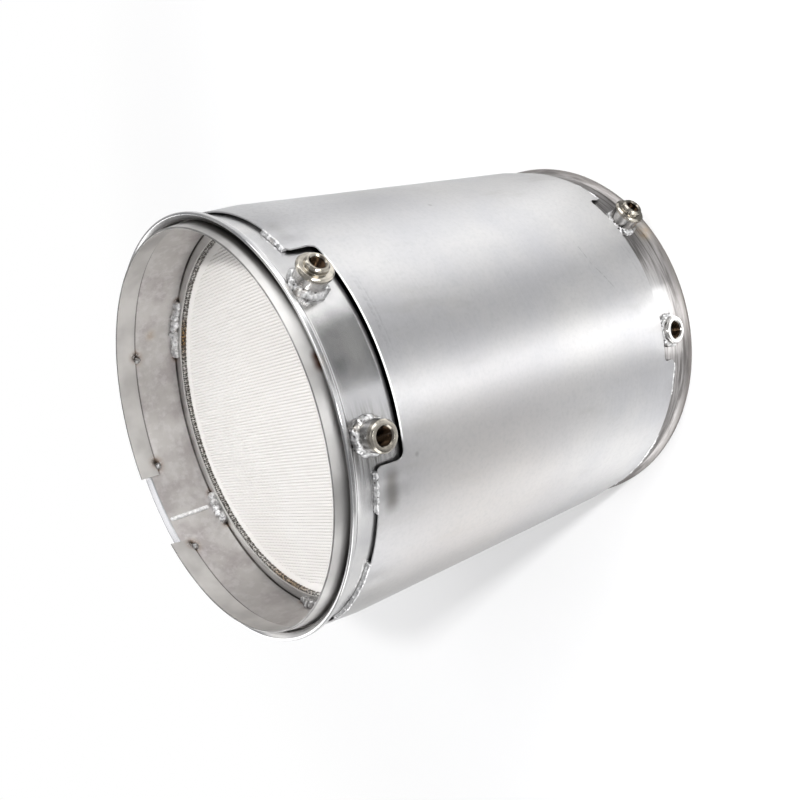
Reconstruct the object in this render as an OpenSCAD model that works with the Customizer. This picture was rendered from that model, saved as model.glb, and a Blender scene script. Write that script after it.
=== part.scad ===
// Diesel particulate filter module: a honeycomb brick canned between two V-clamp end bands.
// The can stands on its outlet flange: z = 0 is the outlet face, +Z runs up to the inlet.
// Angles are degrees about +Z from +X. The sensor bosses face -Y.

/* [Filter brick] */
// Diameter of the honeycomb brick
brick_d = 304.8; // [200:0.1:400]
// Length of the honeycomb brick
brick_len = 266.7; // [150:0.1:450]
// Distance between rows of cells on the end faces
row_pitch = 2.54; // [2.5:0.01:8]
// Width of the line between two rows
row_gap = 0.9; // [0.3:0.1:2]
// Depth of the line between two rows
row_depth = 1.6; // [0.5:0.1:6]
// Direction of the rows
row_angle = 96.3; // [0:0.1:180]
// Plain rim of the brick, under the seal
row_rim = 5; // [2:0.5:20]

/* [Can and mat] */
// Thickness of the support mat round the brick
mat_t = 3.9; // [2:0.1:10]
// Sheet thickness of the can
can_t = 1.5; // [0.8:0.1:3]

/* [End bands] */
// Sheet thickness of the end bands
band_t = 1.5; // [0.8:0.1:3]
// Length of each end band, flange included
band_len = 90; // [75:1:110]
// Distance from the flange face to the brick
brick_inset = 56.5; // [45:0.5:70]
// Height of the flange crest over the band
crest_h = 4.4; // [2:0.1:8]
// Width of the flange crest
crest_w = 3.6; // [1.5:0.1:6]
// Axial length of the slope behind the crest
crest_slope = 4; // [1.5:0.1:7]
// Width of the flat land on the flange face
land_w = 1.5; // [0.8:0.1:3]
// Edge break of the crest
crest_break = 0.6; // [0.2:0.1:1.5]
// Depth of the dished part of the flange face
dish_h = 2.8; // [1:0.1:5]
// Radial size of the rounded corner into the bore
dish_corner = 0.9; // [0.3:0.1:2]

/* [Seals and retaining rings] */
// Axial thickness of the wire-mesh seals
seal_t = 4; // [3:0.1:10]
// Radial overlap of a seal on the brick
seal_lap = 4.2; // [2:0.1:10]
// Sheet thickness of the retaining rings
ring_t = 1.5; // [0.8:0.1:3]
// Radial overlap of a retaining ring on the brick
ring_lap = 2.8; // [0:0.1:6]
// Clearance between a retaining ring and its band
ring_gap = 0.4; // [0.1:0.1:1.5]

/* [Pilot strip] */
// Sheet thickness of the pilot strip
strip_t = 1.5; // [0.8:0.1:3]
// Width of the pilot strip along the axis
strip_w = 18; // [10:0.5:30]
// How far the strip stands out of the flange
strip_proud = 7; // [2:0.5:15]
// How much the strip narrows towards its free edge
strip_taper = 3.3; // [0:0.1:8]
// Clearance between the strip and the band
strip_gap = 0.3; // [0.1:0.1:1.5]
// Angle of one end of the strip
strip_from = 131; // [90:1:180]
// Open angle between the two ends of the strip
strip_open = 24; // [5:1:60]

/* [Heat shield] */
// Space between the can and the heat shield
blanket_t = 4.8; // [3:0.1:20]
// Sheet thickness of the heat shield
shield_t = 1.2; // [0.6:0.1:3]
// Distance from the inlet flange face to the shield
shield_in_inset = 23; // [15:0.5:40]
// Distance from the outlet flange face to the shield
shield_out_inset = 25; // [15:0.5:40]
// How far the shield ends are drawn down
shield_drop = 1.9; // [0:0.1:3]
// Axial length of the drawn-down ends
shield_draw = 26; // [10:0.5:60]
// Depth of the notch at the inlet end
notch_in_depth = 21.8; // [10:0.1:35]
// Depth of the notch at the outlet end
notch_out_depth = 15.5; // [8:0.1:35]
// Angle where the notches start
notch_from = -98.5; // [-110:0.1:-97]
// Angle where the notches end
notch_to = -41.5; // [-45:0.1:-30]
// Corner radius of the notches
notch_r = 6; // [2:0.5:7]
// Clearance between the blanket and the end bands
blanket_gap = 2; // [0.5:0.5:10]

/* [Sensor bosses] */
// Angle of the inlet temperature boss
temp_in_angle = -90.8; // [-94:0.1:-80]
// Angle of the outlet temperature boss
temp_out_angle = -89.5; // [-94:0.1:-80]
// Angle of the two pressure bosses
press_angle = -52.4; // [-60:0.1:-48]
// Distance from the inlet flange face to its bosses
boss_in_inset = 21.5; // [21.5:0.5:26]
// Distance from the outlet flange face to its bosses
boss_out_inset = 27; // [21:0.5:34]
// Diameter of the inlet temperature boss
temp_in_d = 22; // [16:0.5:26]
// Height of the inlet temperature boss over the band
temp_in_h = 17.3; // [8:0.1:30]
// Bore of the inlet temperature boss
temp_in_bore = 12.5; // [6:0.1:18]
// Diameter of the outlet temperature boss
temp_out_d = 24; // [16:0.5:26]
// Height of the outlet temperature boss over the band
temp_out_h = 8; // [6:0.1:30]
// Bore of the outlet temperature boss
temp_out_bore = 14.4; // [6:0.1:18]
// Diameter of a pressure boss body
press_d = 23.5; // [16:0.5:25]
// Diameter of the collar on a pressure boss
press_collar_d = 26; // [18:0.5:30]
// Height of the collar
press_collar_h = 3.4; // [1:0.1:6]
// Height of a pressure boss up to the top of its collar
press_step_h = 16.3; // [8:0.1:25]
// Diameter of the neck over the collar
press_neck_d = 17.2; // [12:0.1:24]
// Height of the neck over the collar
press_neck_h = 4.3; // [2:0.1:10]
// Bore of a pressure boss
press_bore = 10.5; // [6:0.1:14]
// Edge break on the bosses
boss_break = 1.2; // [0.3:0.1:2]
// Countersink at the mouth of each bore
boss_sink = 1; // [0.3:0.1:2]
// How much wider the hole in the band is than the bore of its boss
hole_play = 1; // [0.2:0.1:3]

/* [Welds] */
// How far a boss weld reaches out from the boss
boss_weld_leg = 2; // [1:0.1:2.2]
// How high a boss weld climbs up the boss
boss_weld_h = 4.2; // [1:0.1:6]
// Radius of the beads in the boss welds
bead_r = 2.4; // [1:0.1:4]
// How far the beads stand out of the boss welds
bead_out = 0.3; // [0.1:0.1:0.6]
// Beads round each boss
bead_count = 9; // [5:1:16]
// Length of a shield stitch weld along the axis
stitch_l = 2.6; // [1:0.1:5]
// Reach of a shield stitch weld under the shield
stitch_under = 1.5; // [0.5:0.1:5]
// Radius of the tack beads on the retaining rings
ring_tack_r = 3.2; // [1.5:0.1:5]
// Angle between tack beads on the retaining rings
ring_tack_step = 2.2; // [1:0.1:3]
// Radius of the tack beads on the pilot strip
strip_tack_r = 3; // [1.5:0.1:5]
// Radius of the band seam bead
seam_r = 1.3; // [0.6:0.1:3]
// Angle of the band seams
seam_angle = 122.3; // [112:0.1:126]
// Length of the band seams
seam_l = 36; // [20:0.5:38]
// Distance from the flange face to the band seams
seam_inset = 6; // [5:0.5:8]

/* [Hidden] */
$fn = 120;
cut_fn = 720;
bead_fn = 48;
over = 1;
full_turn = 360;
half = 0.5;

brick_r = brick_d / 2;
can_in = brick_r + mat_t;
can_out = can_in + can_t;
band_in = can_out;
band_out = band_in + band_t;
crest_r = band_out + crest_h;
shield_in = can_out + blanket_t;
shield_out = shield_in + shield_t;

brick_z0 = brick_inset;
brick_z1 = brick_z0 + brick_len;
span = brick_z1 + brick_inset;
row_r = brick_r - row_rim;
row_count = floor(2 * row_r / row_pitch);

seal_in = brick_r - seal_lap;
ring_in = brick_r - ring_lap;
ring_out = band_in - ring_gap;
ring_face = brick_inset - seal_t - ring_t;

strip_out = band_in - strip_gap;
strip_z1 = span + strip_proud;
strip_z0 = strip_z1 - strip_w;

shield_z0 = shield_out_inset;
shield_z1 = span - shield_in_inset;
notch_in_z = shield_z1 - notch_in_depth;
notch_out_z = shield_z0 + notch_out_depth;
corner_bite = 0.05;
corner_a = asin((notch_r - corner_bite) / shield_out);

boss_in_z = span - boss_in_inset;
boss_out_z = boss_out_inset;
bead_turn = full_turn / bead_count;

// Start and end angle of each stitch weld on the shield edges
stitches = [[-41, -31.5], [-110, -99.8], [-152, -125], [-180, -168], [20, 32], [64, 76],
    [108, 120], [150, 162]];
// Start angle and number of beads of each tack on the retaining rings
ring_tacks = [[51, 9], [119.5, 5], [176.5, 4], [-126, 3], [-66, 3], [-6, 3]];
// Angle of each tack on the pilot strip
strip_tacks = [68, 104, 134, -142, -100, -58, -16];

steel = [0.72, 0.72, 0.73];
bright = [0.80, 0.80, 0.81];
nickel = [0.70, 0.66, 0.58];
ceramic = [0.93, 0.91, 0.88];

// Puts a child built from the outlet face upwards at the inlet end
module at_inlet() {
    translate([0, 0, span]) mirror([0, 0, 1]) children();
}

// Points a child's +Z outwards from the axis at angle a and height z
module radial(a, z) {
    translate([0, 0, z]) rotate([0, 0, a]) rotate([0, 90, 0]) children();
}

module tube(r_in, r_out, z0, z1) {
    rotate_extrude() polygon([[r_in, z0], [r_out, z0], [r_out, z1], [r_in, z1]]);
}

// Lines between the rows of cells on one end face
module row_lines(z) {
    rotate([0, 0, row_angle])
        for (i = [0 : row_count - 1]) {
            y = (i - (row_count - 1) * half) * row_pitch;
            l = 2 * sqrt(row_r * row_r - y * y);
            translate([-l * half, y - row_gap * half, z]) cube([l, row_gap, row_depth + over]);
        }
}

module filter_brick() {
    color(ceramic) difference() {
        translate([0, 0, brick_z0]) cylinder(r = brick_r, h = brick_len);
        row_lines(brick_z1 - row_depth);
        row_lines(brick_z0 - over);
    }
}

module support_mat() {
    color([0.86, 0.83, 0.76]) tube(brick_r, can_in, brick_z0, brick_z1);
}

module inner_can() {
    color(steel) tube(can_in, can_out, brick_z0, brick_z1);
}

// Wire-mesh seal pressed between a retaining ring and the end of the brick
module mesh_seal() {
    tube(seal_in, band_in, brick_inset - seal_t, brick_inset);
}

module inlet_mesh_seal() { color([0.55, 0.52, 0.48]) at_inlet() mesh_seal(); }
module outlet_mesh_seal() { color([0.55, 0.52, 0.48]) mesh_seal(); }

module retaining_ring() {
    tube(ring_in, ring_out, ring_face, ring_face + ring_t);
}

module inlet_retaining_ring() { color(bright) at_inlet() retaining_ring(); }
module outlet_retaining_ring() { color(bright) retaining_ring(); }

// Band with a V-clamp flange rolled on its end
module flange_band() {
    rotate_extrude() polygon([
        [band_in, band_len],
        [band_in, dish_h + dish_corner],
        [band_in + dish_corner, dish_h],
        [crest_r - crest_break - land_w, 0],
        [crest_r - crest_break, 0],
        [crest_r, crest_break],
        [crest_r, crest_w],
        [band_out, crest_w + crest_slope],
        [band_out, band_len]]);
}

// Sensor hole through a band
module band_hole(a, z, d) {
    radial(a, z) translate([0, 0, seal_in]) cylinder(d = d + hole_play, h = crest_r - seal_in + over);
}

module inlet_flange_band() {
    color(bright) difference() {
        at_inlet() flange_band();
        band_hole(temp_in_angle, boss_in_z, temp_in_bore);
        band_hole(press_angle, boss_in_z, press_bore);
    }
}

module outlet_flange_band() {
    color(bright) difference() {
        flange_band();
        band_hole(temp_out_angle, boss_out_z, temp_out_bore);
        band_hole(press_angle, boss_out_z, press_bore);
    }
}

module strip_profile() {
    polygon([
        [strip_out - strip_t, strip_z0],
        [strip_out, strip_z0],
        [strip_out - strip_taper, strip_z1],
        [strip_out - strip_taper - strip_t, strip_z1]]);
}

// Split, tapered strip that guides the mating pipe into the inlet
module inlet_pilot_strip() {
    color(steel) rotate([0, 0, strip_from])
        rotate_extrude(angle = full_turn - strip_open) strip_profile();
}

module insulation_blanket() {
    color([0.88, 0.86, 0.80])
        tube(can_out, shield_in, band_len + blanket_gap, span - band_len - blanket_gap);
}

module shield_body() {
    rotate_extrude() polygon([
        [shield_in - shield_drop, shield_z0],
        [shield_out - shield_drop, shield_z0],
        [shield_out, shield_z0 + shield_draw],
        [shield_out, shield_z1 - shield_draw],
        [shield_out - shield_drop, shield_z1],
        [shield_in - shield_drop, shield_z1],
        [shield_in, shield_z1 - shield_draw],
        [shield_in, shield_z0 + shield_draw]]);
}

// Sector through the shield wall between two angles and two heights, standing past it by more
module sector(a0, a1, z0, z1, more) {
    r0 = shield_in - shield_drop - more;
    r1 = shield_out + more;
    rotate([0, 0, a0]) rotate_extrude(angle = a1 - a0)
        polygon([[r0, z0], [r1, z0], [r1, z1], [r0, z1]]);
}

// Wide part of a notch, from its edge side down to where the rounded corners start
module notch_wide(z_corner, z_edge) {
    sector(notch_from, notch_to, min(z_corner, z_edge), max(z_corner, z_edge), 2 * over);
}

// Deep part of a notch, between its rounded corners
module notch_deep(z_deep, z_edge) {
    sector(notch_from + corner_a, notch_to - corner_a, min(z_deep, z_edge), max(z_deep, z_edge), over);
}

// One rounded corner of a notch
module notch_corner(a, z_corner) {
    radial(a, z_corner) translate([0, 0, band_out])
        cylinder(r = notch_r, h = shield_out - band_out + over);
}

module shield_wide() {
    difference() {
        shield_body();
        notch_wide(notch_in_z + notch_r, shield_z1 + 2 * over);
        notch_wide(notch_out_z - notch_r, shield_z0 - 2 * over);
    }
}

module shield_deep() {
    difference() {
        shield_wide();
        notch_deep(notch_in_z, shield_z1 + over);
        notch_deep(notch_out_z, shield_z0 - over);
    }
}

module heat_shield() {
    color(steel) difference() {
        shield_deep();
        notch_corner(notch_from + corner_a, notch_in_z + notch_r - corner_bite);
        notch_corner(notch_to - corner_a, notch_in_z + notch_r - corner_bite);
        notch_corner(notch_from + corner_a, notch_out_z - notch_r + corner_bite);
        notch_corner(notch_to - corner_a, notch_out_z - notch_r + corner_bite);
    }
}

// Saddle seat that cuts what sits on a band
module band_saddle() {
    cylinder(r = band_out, h = span, $fn = cut_fn);
}

module temperature_boss(a, z, d, h, bore) {
    difference() {
        radial(a, z) rotate_extrude() polygon([
            [bore * half, band_in],
            [d * half, band_in],
            [d * half, band_out + h - boss_break],
            [d * half - boss_break, band_out + h],
            [bore * half + boss_sink, band_out + h],
            [bore * half, band_out + h - boss_sink]]);
        band_saddle();
    }
}

module pressure_boss(z) {
    difference() {
        radial(press_angle, z) rotate_extrude() polygon([
            [press_bore * half, band_in],
            [press_d * half, band_in],
            [press_d * half, band_out + press_step_h - press_collar_h],
            [press_collar_d * half, band_out + press_step_h - press_collar_h],
            [press_collar_d * half, band_out + press_step_h - boss_break],
            [press_collar_d * half - boss_break, band_out + press_step_h],
            [press_neck_d * half, band_out + press_step_h],
            [press_neck_d * half, band_out + press_step_h + press_neck_h - boss_break],
            [press_neck_d * half - boss_break, band_out + press_step_h + press_neck_h],
            [press_bore * half + boss_sink, band_out + press_step_h + press_neck_h],
            [press_bore * half, band_out + press_step_h + press_neck_h - boss_sink]]);
        band_saddle();
    }
}

module inlet_temperature_boss() {
    color(nickel) temperature_boss(temp_in_angle, boss_in_z, temp_in_d, temp_in_h, temp_in_bore);
}
module outlet_temperature_boss() {
    color(nickel) temperature_boss(temp_out_angle, boss_out_z, temp_out_d, temp_out_h, temp_out_bore);
}
module inlet_pressure_boss() { color(nickel) pressure_boss(boss_in_z); }
module outlet_pressure_boss() { color(nickel) pressure_boss(boss_out_z); }

// Lumpy fillet weld round the foot of a boss
module boss_weld(a, z, d) {
    foot = d * half;
    difference() {
        radial(a, z) {
            rotate_extrude() polygon([
                [foot, band_in],
                [foot + boss_weld_leg, band_in],
                [foot + boss_weld_leg, band_out],
                [foot, band_out + boss_weld_h]]);
            for (i = [0 : bead_count - 1])
                rotate([0, 0, i * bead_turn])
                    translate([foot + boss_weld_leg + bead_out - bead_r, 0, band_out + bead_r * half])
                        sphere(r = bead_r, $fn = bead_fn);
        }
        band_saddle();
        radial(a, z) translate([0, 0, seal_in]) cylinder(r = foot, h = crest_r, $fn = cut_fn);
    }
}

module inlet_temperature_boss_weld() { color(bright) boss_weld(temp_in_angle, boss_in_z, temp_in_d); }
module inlet_pressure_boss_weld() { color(bright) boss_weld(press_angle, boss_in_z, press_d); }
module outlet_temperature_boss_weld() { color(bright) boss_weld(temp_out_angle, boss_out_z, temp_out_d); }
module outlet_pressure_boss_weld() { color(bright) boss_weld(press_angle, boss_out_z, press_d); }

// Stitch welds that bridge the gap between a shield edge at height 0 and the band
module shield_welds() {
    under_r = shield_in - shield_drop + shield_drop * stitch_under / shield_draw;
    for (s = stitches)
        rotate([0, 0, s[0]]) rotate_extrude(angle = s[1] - s[0]) polygon([
            [band_out, -stitch_l],
            [band_out + stitch_l * half, -stitch_l * half],
            [shield_out - shield_drop, -stitch_l * half],
            [shield_out - shield_drop, 0],
            [shield_in - shield_drop, 0],
            [under_r, stitch_under],
            [band_out, stitch_under]]);
}

module inlet_shield_welds() {
    color(bright) translate([0, 0, shield_z1]) mirror([0, 0, 1]) shield_welds();
}
module outlet_shield_welds() { color(bright) translate([0, 0, shield_z0]) shield_welds(); }

// Rows of weld beads that hold a retaining ring in its band
module ring_welds() {
    difference() {
        intersection() {
            for (t = ring_tacks, i = [0 : t[1] - 1])
                rotate([0, 0, t[0] + i * ring_tack_step])
                    translate([ring_out - ring_tack_r * half, 0, ring_face - ring_tack_r * half])
                        sphere(r = ring_tack_r, $fn = bead_fn);
            cylinder(r = band_in, h = brick_inset - seal_t, $fn = cut_fn);
        }
        tube(ring_in, ring_out, ring_face, ring_face + ring_t + over);
    }
}

module inlet_ring_welds() { color(bright) at_inlet() ring_welds(); }
module outlet_ring_welds() { color(bright) ring_welds(); }

// Tack welds between the inner edge of the pilot strip and the band
module pilot_strip_welds() {
    color(bright) difference() {
        intersection() {
            for (a = strip_tacks)
                rotate([0, 0, a])
                    translate([strip_out - strip_t, 0, strip_z0 - strip_tack_r * half])
                        sphere(r = strip_tack_r, $fn = bead_fn);
            translate([0, 0, strip_z0 - strip_w]) cylinder(r = band_in, h = 2 * strip_w, $fn = cut_fn);
        }
        rotate_extrude($fn = cut_fn) strip_profile();
    }
}

// Raised bead of a band's rolled seam, on its inner wall
module band_seam() {
    intersection() {
        rotate([0, 0, seam_angle]) translate([band_in, 0, seam_inset]) cylinder(r = seam_r, h = seam_l);
        cylinder(r = band_in, h = band_len, $fn = cut_fn);
    }
}

module inlet_band_seam() { color(bright) at_inlet() band_seam(); }
module outlet_band_seam() { color(bright) band_seam(); }

filter_brick();
support_mat();
inner_can();
inlet_mesh_seal();
outlet_mesh_seal();
inlet_retaining_ring();
outlet_retaining_ring();
inlet_flange_band();
outlet_flange_band();
inlet_pilot_strip();
insulation_blanket();
heat_shield();
inlet_temperature_boss();
inlet_pressure_boss();
outlet_temperature_boss();
outlet_pressure_boss();
inlet_temperature_boss_weld();
inlet_pressure_boss_weld();
outlet_temperature_boss_weld();
outlet_pressure_boss_weld();
inlet_shield_welds();
outlet_shield_welds();
inlet_ring_welds();
outlet_ring_welds();
pilot_strip_welds();
inlet_band_seam();
outlet_band_seam();
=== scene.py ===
import math

import bmesh
import bpy
import numpy as np
from mathutils import Matrix, Vector, noise


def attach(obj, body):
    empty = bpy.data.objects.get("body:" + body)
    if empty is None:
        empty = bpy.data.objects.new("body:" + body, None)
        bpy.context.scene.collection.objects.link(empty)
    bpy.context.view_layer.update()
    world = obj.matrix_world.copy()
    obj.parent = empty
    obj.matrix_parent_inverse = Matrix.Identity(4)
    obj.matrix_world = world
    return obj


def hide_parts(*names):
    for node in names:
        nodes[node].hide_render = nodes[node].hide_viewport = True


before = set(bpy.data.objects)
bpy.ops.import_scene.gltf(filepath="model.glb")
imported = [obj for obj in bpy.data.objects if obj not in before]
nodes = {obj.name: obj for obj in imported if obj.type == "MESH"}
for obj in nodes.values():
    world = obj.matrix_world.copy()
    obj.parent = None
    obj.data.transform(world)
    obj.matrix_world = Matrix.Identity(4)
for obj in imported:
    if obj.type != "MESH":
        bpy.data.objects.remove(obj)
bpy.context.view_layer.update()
scene = bpy.context.scene

# Sizes of the part in millimetres, as its solids have them

MM = 0.001
BRICK_R = 152.4
BRICK_LOW, BRICK_HIGH = 56.5, 323.2
BAND_IN, BAND_OUT, BAND_LEN = 157.8, 159.3, 90.0
SPAN = 379.7
CREST_R, CREST_W, CREST_SLOPE, LAND_W, CREST_BREAK = 163.7, 3.6, 4.0, 1.5, 0.6
DISH_H, DISH_CORNER = 2.8, 0.9
SEAL_IN, SEAL_T = 148.2, 4.0
RING_IN, RING_OUT, RING_T = 149.6, 157.4, 1.5
STRIP_OUT, STRIP_T, STRIP_TAPER = 157.5, 1.5, 3.3
STRIP_LOW, STRIP_HIGH, STRIP_FROM, STRIP_OPEN = 368.7, 386.7, 131.0, 24.0
SHIELD_OUT, SHIELD_T, SHIELD_DROP, SHIELD_DRAW = 163.8, 1.2, 1.9, 26.0
SHIELD_LOW, SHIELD_HIGH = 25.0, 356.7
NOTCH_FROM, NOTCH_TO, NOTCH_R = -98.5, -41.5, 6.0
NOTCH_IN_DEPTH, NOTCH_OUT_DEPTH = 21.8, 15.5
NOTCH_MIDDLE, NOTCH_LINE = (NOTCH_FROM + NOTCH_TO) / 2, SHIELD_HIGH - NOTCH_IN_DEPTH
BOSS_IN_Z, BOSS_OUT_Z = 358.2, 27.0
PRESS_ANGLE, TEMP_IN_ANGLE, TEMP_OUT_ANGLE = -52.4, -90.8, -89.5
BOSS_BREAK, BOSS_SINK, HOLE_PLAY = 1.2, 1.0, 1.0
TEMP_IN_D, TEMP_IN_TALL, TEMP_IN_BORE = 22.0, 17.3, 12.5
TEMP_OUT_D, TEMP_OUT_TALL, TEMP_OUT_BORE = 24.0, 8.0, 14.4
PRESS_BODY_R, PRESS_COLLAR_R, PRESS_NECK_R, PRESS_BORE = 11.75, 13.0, 8.6, 10.5
PRESS_BODY_H, PRESS_COLLAR_H, PRESS_TALL = 12.9, 16.3, 20.6
THREAD_PITCH, THREAD_DEPTH, WIDE_THREAD_DEPTH = 1.5, 0.75, 0.8
RING_TOP = BRICK_HIGH + SEAL_T + RING_T
STRIP_JOINT = SPAN - DISH_H - DISH_CORNER
STRIP_TACKS = (68.0, 104.0, 134.0, -142.0, -100.0, -58.0, -16.0)
RING_TACK_ENDS = (49.4, 70.4, 118.0, 130.0, 175.0, 185.0)


# Shader expressions


class Wire:
    """A shader socket that adds Math nodes when it meets an operator."""

    def __init__(self, finish, socket):
        self.finish, self.socket = finish, socket

    def math(self, operation, *values):
        return self.finish.node("Math", {"operation": operation}, dict(enumerate(values)))

    def __add__(self, other):
        return self.math("ADD", self, other)

    def __sub__(self, other):
        return self.math("SUBTRACT", self, other)

    def __rsub__(self, other):
        return self.math("SUBTRACT", other, self)

    def __mul__(self, other):
        return self.math("MULTIPLY", self, other)

    __radd__, __rmul__ = __add__, __mul__

    def clip(self, low, high):
        """0 below low, 1 above high and smooth between them."""
        return self.finish.node("MapRange", {"interpolation_type": "SMOOTHSTEP"},
                                {"Value": self, "From Min": low, "From Max": high})

    def over(self, low, high):
        """The same for a length, with low and high in millimetres."""
        return self.clip(low * MM, high * MM)

    def at(self, centre, reach):
        """1 where a length is near a centre, both in millimetres, and 0 from reach away."""
        away = self.math("ABSOLUTE", self - centre * MM)
        return 1 - away.over(0.4 * reach, reach)


class Finish:
    """A material, or the world, with one method that makes its nodes."""

    def __init__(self, owner):
        owner.use_nodes = True
        self.owner, self.tree = owner, owner.node_tree
        self.tree.nodes.clear()

    def node(self, kind, settings=None, sockets=None, out=0):
        """Makes one node: its settings first, then the values or links of its sockets."""
        made = self.tree.nodes.new("ShaderNode" + kind)
        for key, value in (settings or {}).items():
            if key == "stops":
                ramp = made.color_ramp.elements
                while len(ramp) < len(value):
                    ramp.new(1.0)
                for element, (place, colour) in zip(ramp, value):
                    element.position, element.color = place, (*colour, 1.0)
            else:
                setattr(made, key, value)
        for key, value in (sockets or {}).items():
            if isinstance(value, Wire):
                self.tree.links.new(value.socket, made.inputs[key])
            else:
                made.inputs[key].default_value = value
        return Wire(self, made.outputs[out]) if made.outputs else None

    def place(self):
        return self.node("TexCoord", out="Object")

    def grain(self, scale, detail=2.0, rough=0.5, stretch=(1.0, 1.0, 1.0), shift=(0.0, 0.0, 0.0)):
        """Noise of about scale patches per metre, stretched along the axes."""
        spot = self.node("Mapping", None, {"Vector": self.place(), "Location": shift, "Scale": stretch})
        return self.node("TexNoise", None, {"Vector": spot, "Scale": scale, "Detail": detail,
                                            "Roughness": rough})

    def mix(self, factor, first, second):
        """Mixes two colours, each of them a wire or (red, green, blue)."""
        def colour(c):
            return c if isinstance(c, Wire) else (*c, 1.0)
        return self.node("Mix", {"data_type": "RGBA"},
                         {0: factor, 6: colour(first), 7: colour(second)}, out=2)

    def near(self, centre, reach):
        """1 at a point of the part, in millimetres, and 0 from reach away."""
        point = tuple(c * MM for c in centre)
        away = self.node("VectorMath", {"operation": "DISTANCE"}, {0: self.place(), 1: point}, out="Value")
        return 1 - away.over(0.15 * reach, reach)

    def spots(self, centres, reach):
        """The sum of near() over several points."""
        total = self.near(centres[0], reach)
        for centre in centres[1:]:
            total = total + self.near(centre, reach)
        return total

    def height(self):
        return self.node("SeparateXYZ", None, {0: self.place()}, out="Z")

    def radius(self):
        flat = self.node("VectorMath", {"operation": "MULTIPLY"}, {0: self.place(), 1: (1.0, 1.0, 0.0)})
        return self.node("VectorMath", {"operation": "LENGTH"}, {0: flat}, out="Value")

    def bump(self, height, strength, depth):
        return self.node("Bump", None, {"Height": height, "Strength": strength, "Distance": depth * MM})

    def close(self, colour, roughness, normal=None, **constants):
        """Ends a material in one Principled shader."""
        sockets = {"Base Color": colour if isinstance(colour, Wire) else (*colour, 1.0),
                   "Roughness": roughness}
        sockets.update({key.replace("_", " "): value for key, value in constants.items()})
        if normal is not None:
            sockets["Normal"] = normal
        shader = self.node("BsdfPrincipled", None, sockets)
        self.node("OutputMaterial", None, {"Surface": shader})
        return self.owner


def finish(name):
    return Finish(bpy.data.materials.new(name))


def polar(radius, degrees, height):
    angle = math.radians(degrees)
    return (radius * math.cos(angle), radius * math.sin(angle), height)


def on_shield(degrees, height):
    return polar(SHIELD_OUT, degrees, height)


# Finishes

HEAT_BROWN = (0.30, 0.17, 0.09)
HEAT_STRAW = (0.60, 0.47, 0.30)
# Weld soot, also used as painted shade in corners and gaps
SOOT_AND_SHADE = (0.045, 0.038, 0.033)
# Painted shade for the groove where the strip meets the crest
JOINT_SHADE = (0.06, 0.055, 0.05)
TACK_PITS = [polar(156.6, turn, STRIP_LOW - 0.6) for turn in STRIP_TACKS]
TACK_EDGES = [polar(156.8, turn - 1.3, STRIP_LOW - 0.2) for turn in STRIP_TACKS]
RING_PITS = [polar(156.8, turn, RING_TOP + 0.8) for turn in RING_TACK_ENDS]


def heat_tint(f, colour, spots):
    """Browns a colour round the welds: spots are (centre, reach, strength)."""
    mottle = f.grain(160.0, 3.0, 0.6).clip(0.3, 0.7)
    for centre, reach, strength in spots:
        around = f.near(centre, reach)
        colour = f.mix(around * (mottle * 0.6 + 0.4) * (0.8 * strength), colour, HEAT_STRAW)
        core = f.near(centre, 0.6 * reach)
        colour = f.mix(core * mottle * strength, colour, HEAT_BROWN)
    return colour


def soot(f, colour, centres, reach, where=1.0):
    """Blackens a colour in ragged pits with a brown rim."""
    ragged = f.grain(480.0, 3.0, 0.6, shift=(4.0, 4.0, 0.0)).clip(0.32, 0.48) * where
    colour = f.mix(f.spots(centres, 1.6 * reach) * ragged * 0.45, colour, HEAT_BROWN)
    return f.mix(f.spots(centres, reach) * ragged, colour, SOOT_AND_SHADE)


def joint_patchiness(f):
    return f.grain(30.0, 3.0, 0.5, shift=(1.0, 3.0, 8.0)).clip(0.3, 0.6)


def joint_shade_weight(f, patchiness):
    """How dark the painted shade in the joint of strip and crest is: most near the pressure boss."""
    return (patchiness * 0.5 + 0.5) * (f.near(polar(158.0, -42.0, STRIP_JOINT), 90.0) * 0.6 + 0.4)


def scratch(f, start, end):
    """1 along a fine line between two points of the shield, in millimetres, and 0 beside it."""
    first, last = Vector(start), Vector(end)
    middle = (first + last) / 2
    across = (last - first).cross(Vector((middle.x, middle.y, 0.0))).normalized()
    side = f.node("VectorMath", {"operation": "DOT_PRODUCT"}, {0: f.place(), 1: tuple(across)}, out="Value")
    return side.at(across.dot(middle), 0.9) * f.near(middle, 0.6 * (last - first).length)


def shield_marks(f, colour):
    """Marks of handling: two scuffs, fine specks, and scratches that the specks break up."""
    scuffs = f.spots([on_shield(-98.4, 324.5), on_shield(-32.5, 207.0)], 2.6)
    colour = f.mix(scuffs * 0.5, colour, (0.25, 0.245, 0.24))
    speck = f.grain(330.0, 3.0, 0.65, shift=(8.0, 3.0, 1.0))
    colour = f.mix(speck.clip(0.4, 0.75) * 0.3, colour, (0.40, 0.40, 0.41))
    marks = scratch(f, on_shield(-55.0, 105.7), on_shield(-65.0, 100.5))
    marks = marks + scratch(f, on_shield(-64.0, 101.3), on_shield(-74.0, 85.6))
    for height in (323.6, 326.2, 327.4):
        marks = marks + scratch(f, on_shield(-52.0, height), on_shield(-76.0, height + 0.6)) * 0.6
    for height in (55.0, 50.0):
        marks = marks + scratch(f, on_shield(-58.0, height), on_shield(-73.0, height - 7.0)) * 0.5
    return f.mix(marks * speck.clip(0.35, 0.6) * 0.4, colour, (0.24, 0.24, 0.25))


def shield_fume_and_dent_shade(f, colour):
    """Dark weld fume marks and painted shade of the dents beside the corners of the inlet notch."""
    fume_and_dent_shade = f.spots([polar(162.6, turn, 346.0) for turn in range(-101, -110, -2)], 9.0) * 0.42
    fume_and_dent_shade = fume_and_dent_shade + f.spots([polar(162.6, turn, 348.0) for turn in range(-30, -37, -2)], 8.0) * 0.12
    return f.mix(fume_and_dent_shade, colour, (0.20, 0.19, 0.18))


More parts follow.
